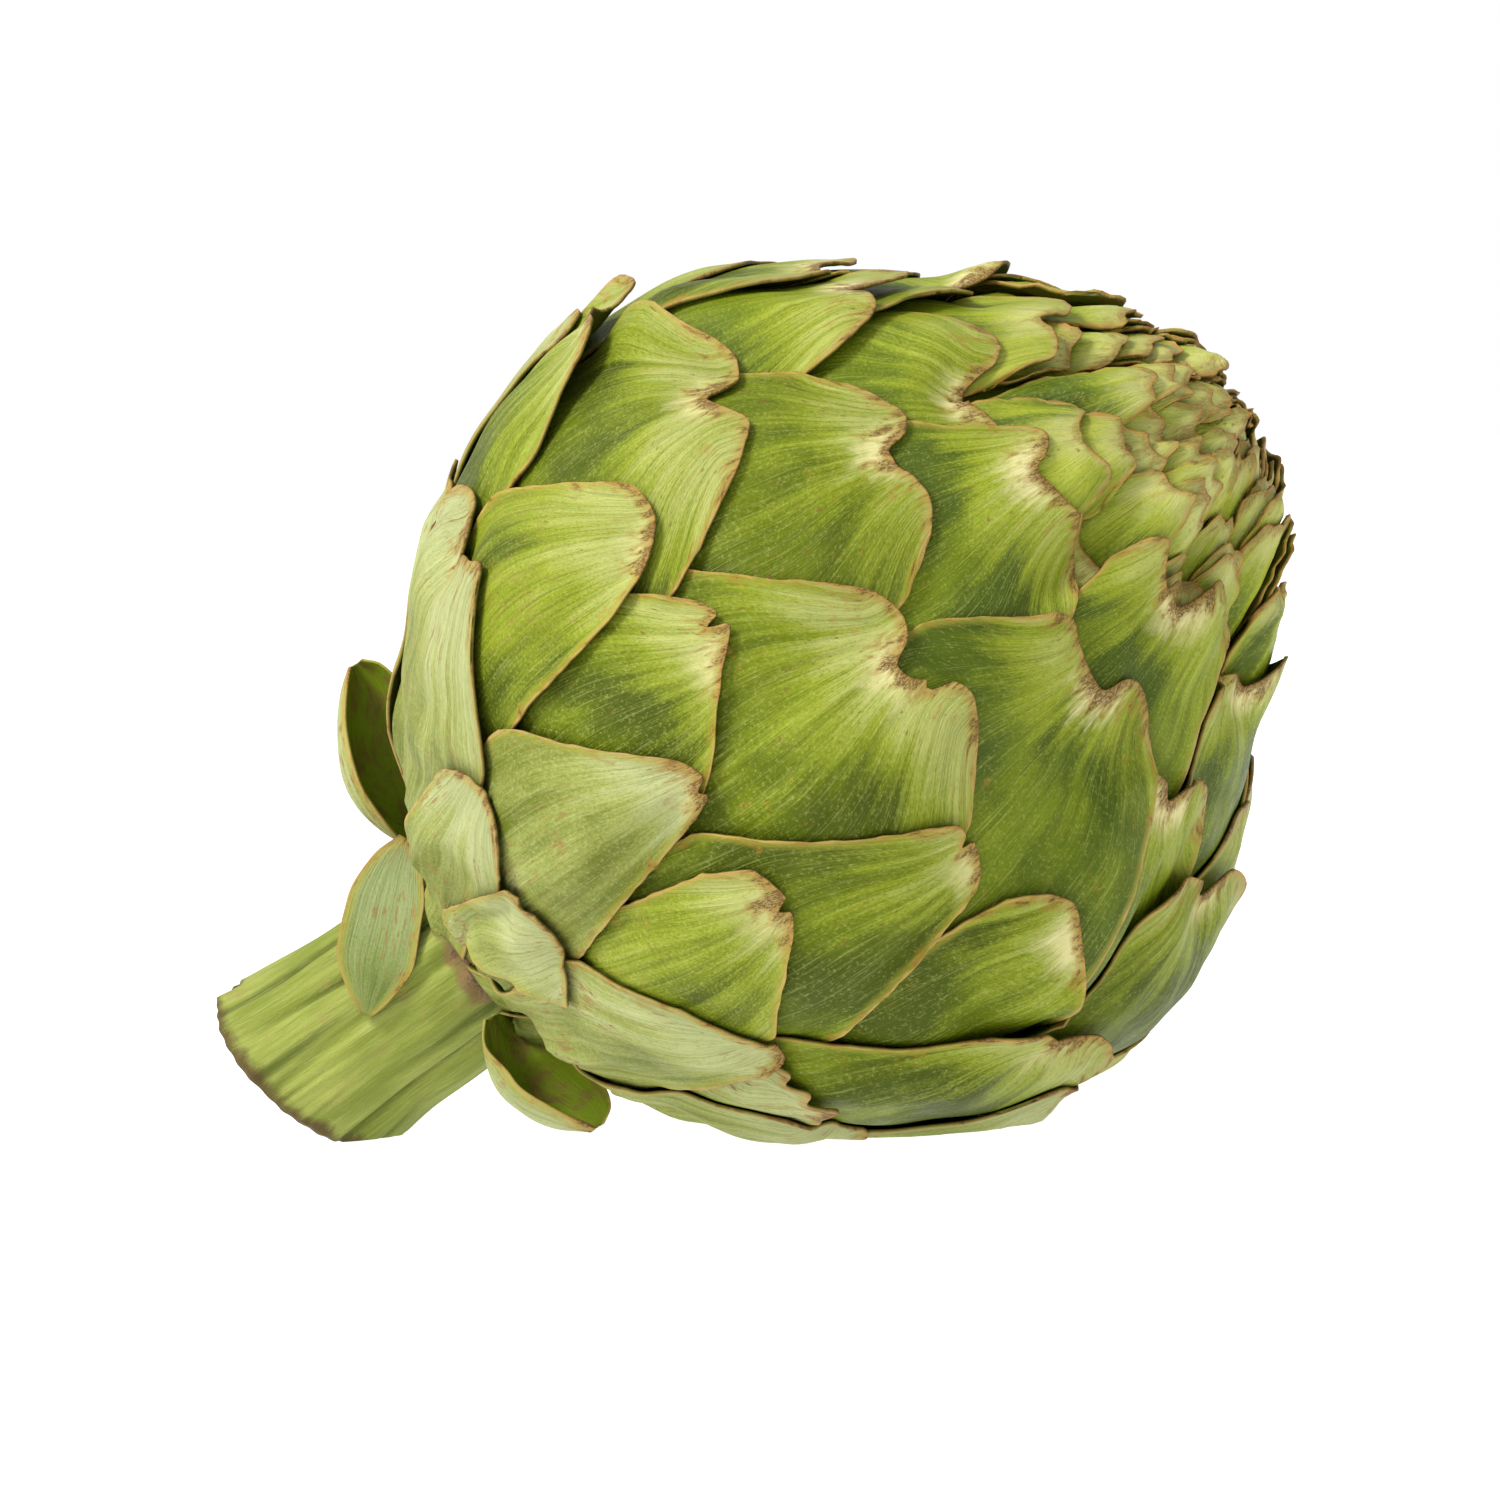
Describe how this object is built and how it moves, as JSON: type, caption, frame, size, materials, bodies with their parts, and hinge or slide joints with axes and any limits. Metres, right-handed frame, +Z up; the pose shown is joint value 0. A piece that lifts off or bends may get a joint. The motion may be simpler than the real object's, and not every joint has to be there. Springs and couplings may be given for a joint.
{
  "type": "globe artichoke",
  "caption": "Globe artichoke on a short cut stem, lying on its side: overlapping notched bracts in a spiral round a packed bud.",
  "frame": {"origin": "bottom centre of the whole object's box, on the surface it lies on", "axes": "+Z up; +X level, from the cut end of the stem towards the bud, above which the head's own axis leans about 28 degrees; +Y level, across"},
  "size_m": [0.1382, 0.1054, 0.101],
  "materials": {
    "outer_bract": "matt, grey-green with a pale bloom, fine lengthwise ribs",
    "bract": "satin, mid green, fine lengthwise ribs, tan margin",
    "young_bract": "satin, fresh yellow-green, brown and cream tip",
    "bud": "satin, pale green, brown-edged crumpled tips",
    "stem": "matt, pale green, ribbed lengthwise, brown at the cut",
    "loose_bract": "matt, dark green inside, grey-green outside",
    "stem_leaf": "matt, blue-green"
  },
  "bodies": {
    "root": {"stem_and_heart": "stem", "inner_bud": "bud", "bract_01": "outer_bract", "bract_02": "outer_bract", "bract_03": "outer_bract", "bract_04": "outer_bract", "bract_05": "outer_bract", "bract_06": "outer_bract", "bract_07": "outer_bract", "bract_08": "outer_bract", "bract_09": "outer_bract", "bract_10": "outer_bract", "bract_11": "outer_bract", "bract_12": "outer_bract", "bract_13": "outer_bract", "bract_14": "outer_bract", "bract_15": "outer_bract", "bract_16": "outer_bract", "bract_17": "outer_bract", "bract_18": "outer_bract", "bract_19": "bract", "bract_20": "bract", "bract_21": "bract", "bract_22": "bract", "bract_23": "bract", "bract_24": "bract", "bract_25": "bract", "bract_26": "bract", "bract_27": "bract", "bract_28": "bract", "bract_29": "bract", "bract_30": "bract", "bract_31": "bract", "bract_32": "bract", "bract_33": "bract", "bract_34": "bract", "bract_35": "bract", "bract_36": "bract", "bract_37": "bract", "bract_38": "bract", "bract_39": "bract", "bract_40": "bract", "bract_41": "young_bract", "bract_42": "young_bract", "bract_43": "young_bract", "bract_44": "young_bract", "bract_45": "young_bract", "bract_46": "young_bract", "bract_47": "young_bract", "bract_48": "young_bract", "bract_49": "young_bract", "bract_50": "young_bract", "bract_51": "young_bract", "bract_52": "young_bract", "bract_53": "young_bract", "bract_54": "young_bract", "bract_55": "young_bract", "loose_bract_upper": "loose_bract", "loose_bract_lower": "loose_bract", "stem_leaf": "stem_leaf"}
  },
  "joints": []
}
